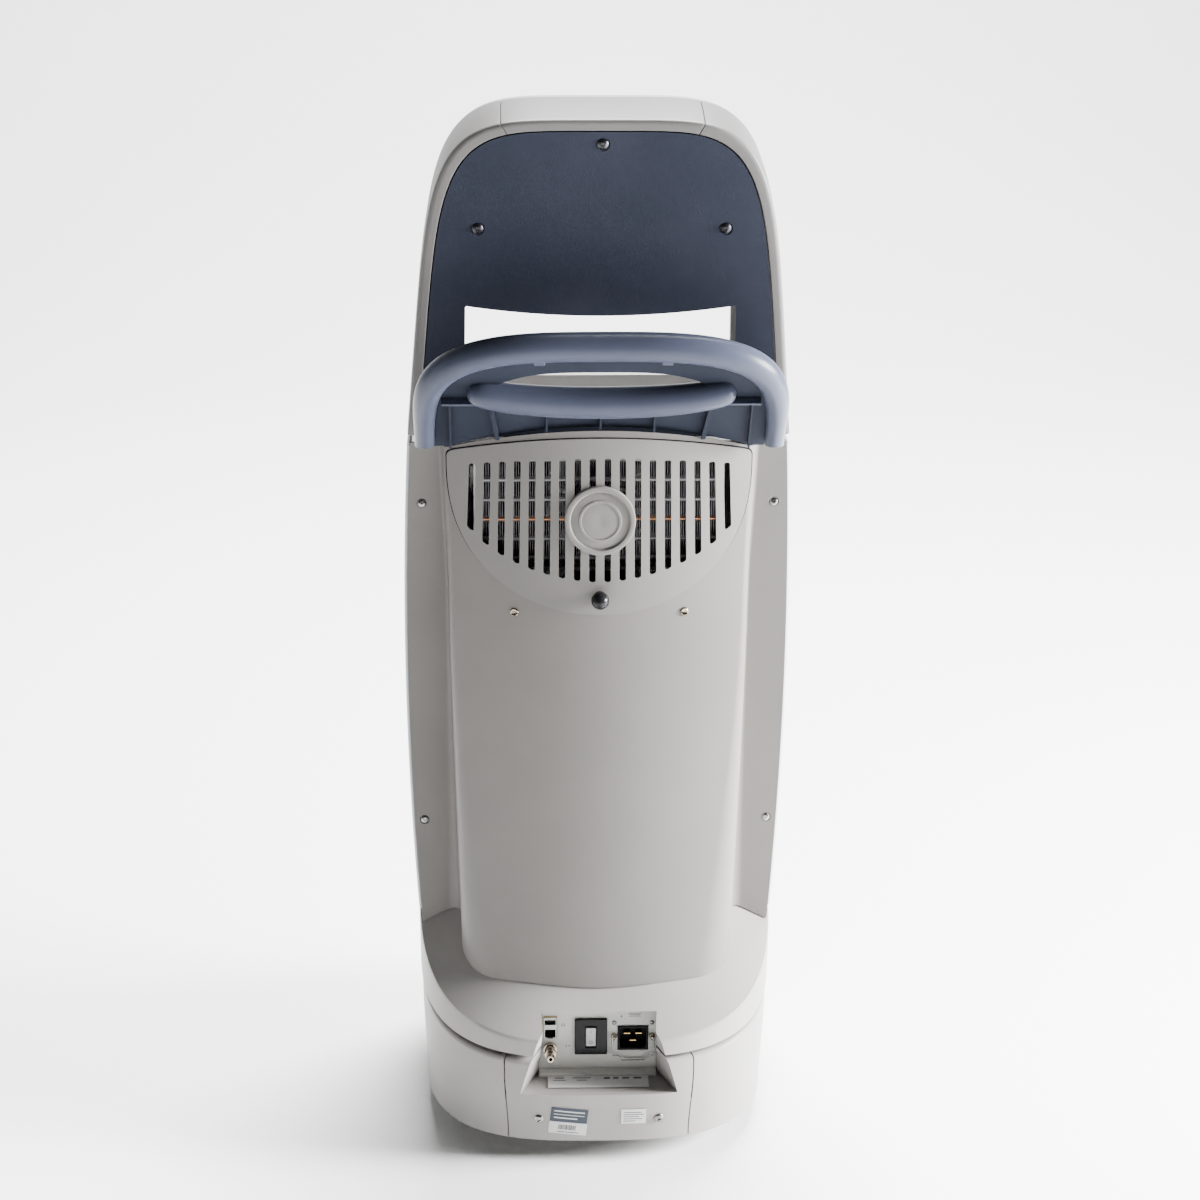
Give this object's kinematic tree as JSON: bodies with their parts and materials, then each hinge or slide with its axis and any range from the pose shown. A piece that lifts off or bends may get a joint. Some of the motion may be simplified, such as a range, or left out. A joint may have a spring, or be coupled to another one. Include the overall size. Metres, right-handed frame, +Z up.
{
  "type": "oxygen concentrator",
  "caption": "Tall mobile oxygen concentrator: moulded tower on a skirted castor base, rear push handle, grille cover, mains recess and leaning display head.",
  "frame": {"origin": "on the floor, in the middle of the base's plan", "axes": "+Z up, +Y towards the display side, -Y towards the push handle, grille and mains panel, +X to the right as seen from the rear"},
  "size_m": [0.4242, 0.5309, 1.1702],
  "materials": {
    "warm_grey": "fine-grained moulded plastic, warm grey",
    "white": "fine-grained moulded plastic, off-white",
    "pale_blue": "fine-grained moulded plastic, pale blue-grey",
    "navy": "dull dark navy paint",
    "slate": "satin blue-grey plastic",
    "black": "glossy black plastic",
    "rubber": "dull dark rubber",
    "steel": "zinc-plated steel",
    "aluminium": "cast aluminium",
    "plate": "pale painted sheet",
    "glass": "dark display glass",
    "clear": "translucent plastic",
    "orange": "orange-red plastic",
    "board": "solder-masked laminate",
    "copper": "copper tube"
  },
  "bodies": {
    "tower": {"accessory_cradle": "black", "base_collar": "white", "base_tray": "steel", "breaker_body": "black", "chassis_frame": "steel", "compressor": "aluminium", "control_board": "board", "display": "glass", "fan_shroud": "black", "front_cover": "white", "gas_port": "steel", "handle_bow": "slate", "handle_core": "slate", "head_front_bezel": "white", "head_rear_panel": "navy", "head_rim_left": "warm_grey", "head_rim_right": "warm_grey", "head_rim_top": "warm_grey", "inlet_plate": "plate", "intake_filter": "black", "mains_inlet": "black", "network_jack": "steel", "outlet_fitting": "orange", "power_supply": "steel", "product_tank": "aluminium", "radiator": "copper", "rear_cover": "warm_grey", "rear_screw_lower_left": "steel", "rear_screw_lower_right": "steel", "rear_screw_upper_left": "steel", "rear_screw_upper_right": "steel", "side_cover_left": "pale_blue", "side_cover_right": "pale_blue", "sieve_bed_left": "aluminium", "sieve_bed_right": "aluminium", "skirt_left": "white", "skirt_rear_panel": "white", "skirt_right": "white", "test_port": "aluminium", "top_deck": "white", "valve_manifold": "aluminium", "window_liner": "black"},
    "grille": {"grille_cover": "warm_grey"},
    "grille_knob": {"cover_knob": "black"},
    "rocker": {"breaker_rocker": "white"},
    "bail": {"retainer_bail": "steel"},
    "fan": {"fan_rotor": "black"},
    "flow_knob": {"flow_knob": "black"},
    "power_button": {"power_button": "slate"},
    "bottle": {"humidifier_bottle": "clear"},
    "castor_front_left": {"castor_fork_front_left": "steel"},
    "wheel_front_left": {"castor_wheel_front_left": "rubber"},
    "brake_left": {"brake_pedal_left": "slate"},
    "castor_front_right": {"castor_fork_front_right": "steel"},
    "wheel_front_right": {"castor_wheel_front_right": "rubber"},
    "brake_right": {"brake_pedal_right": "slate"},
    "castor_rear_left": {"castor_fork_rear_left": "steel"},
    "wheel_rear_left": {"castor_wheel_rear_left": "rubber"},
    "castor_rear_right": {"castor_fork_rear_right": "steel"},
    "wheel_rear_right": {"castor_wheel_rear_right": "rubber"}
  },
  "joints": [
    {"name": "grille_pull", "type": "slide", "parent": "tower", "child": "grille", "axis": [0, -1, 0], "range_m": [0, 0.08]},
    {"name": "grille_knob_turn", "type": "hinge", "parent": "grille", "child": "grille_knob", "pos_m": [0, -0.187, 0.641], "axis": [0, -1, 0], "range_deg": [0, 90]},
    {"name": "rocker_tip", "type": "hinge", "parent": "tower", "child": "rocker", "pos_m": [-0.0075, -0.184, 0.1285], "axis": [1, 0, 0], "range_deg": [-14, 0]},
    {"name": "bail_swing", "type": "hinge", "parent": "tower", "child": "bail", "pos_m": [0.0395, -0.1902, 0.1285], "axis": [1, 0, 0], "range_deg": [-150, 0]},
    {"name": "fan_spin", "type": "hinge", "parent": "tower", "child": "fan", "pos_m": [0, -0.0985, 0.726], "axis": [0, 1, 0], "continuous": true},
    {"name": "flow_knob_turn", "type": "hinge", "parent": "tower", "child": "flow_knob", "pos_m": [0, 0.15, 0.68], "axis": [0, 1, 0], "range_deg": [-135, 135]},
    {"name": "power_button_press", "type": "slide", "parent": "tower", "child": "power_button", "axis": [0, -1, 0], "range_m": [0, 0.003], "stiffness_N_per_m": 400},
    {"name": "bottle_lift", "type": "slide", "parent": "tower", "child": "bottle", "axis": [0, 0, 1], "range_m": [0, 0.1]},
    {"name": "swivel_front_left", "type": "hinge", "parent": "tower", "child": "castor_front_left", "pos_m": [-0.11, 0.138, 0.07], "axis": [0, 0, 1], "continuous": true},
    {"name": "roll_front_left", "type": "hinge", "parent": "castor_front_left", "child": "wheel_front_left", "pos_m": [-0.11, 0.12, 0.025], "axis": [1, 0, 0], "continuous": true},
    {"name": "brake_press_left", "type": "hinge", "parent": "castor_front_left", "child": "brake_left", "pos_m": [-0.11, 0.1505, 0.0535], "axis": [1, 0, 0], "range_deg": [-15, 0]},
    {"name": "swivel_front_right", "type": "hinge", "parent": "tower", "child": "castor_front_right", "pos_m": [0.11, 0.138, 0.07], "axis": [0, 0, 1], "continuous": true},
    {"name": "roll_front_right", "type": "hinge", "parent": "castor_front_right", "child": "wheel_front_right", "pos_m": [0.11, 0.12, 0.025], "axis": [1, 0, 0], "continuous": true},
    {"name": "brake_press_right", "type": "hinge", "parent": "castor_front_right", "child": "brake_right", "pos_m": [0.11, 0.1505, 0.0535], "axis": [1, 0, 0], "range_deg": [-15, 0]},
    {"name": "swivel_rear_left", "type": "hinge", "parent": "tower", "child": "castor_rear_left", "pos_m": [-0.11, -0.138, 0.07], "axis": [0, 0, 1], "continuous": true},
    {"name": "roll_rear_left", "type": "hinge", "parent": "castor_rear_left", "child": "wheel_rear_left", "pos_m": [-0.11, -0.12, 0.025], "axis": [1, 0, 0], "continuous": true},
    {"name": "swivel_rear_right", "type": "hinge", "parent": "tower", "child": "castor_rear_right", "pos_m": [0.11, -0.138, 0.07], "axis": [0, 0, 1], "continuous": true},
    {"name": "roll_rear_right", "type": "hinge", "parent": "castor_rear_right", "child": "wheel_rear_right", "pos_m": [0.11, -0.12, 0.025], "axis": [1, 0, 0], "continuous": true}
  ]
}
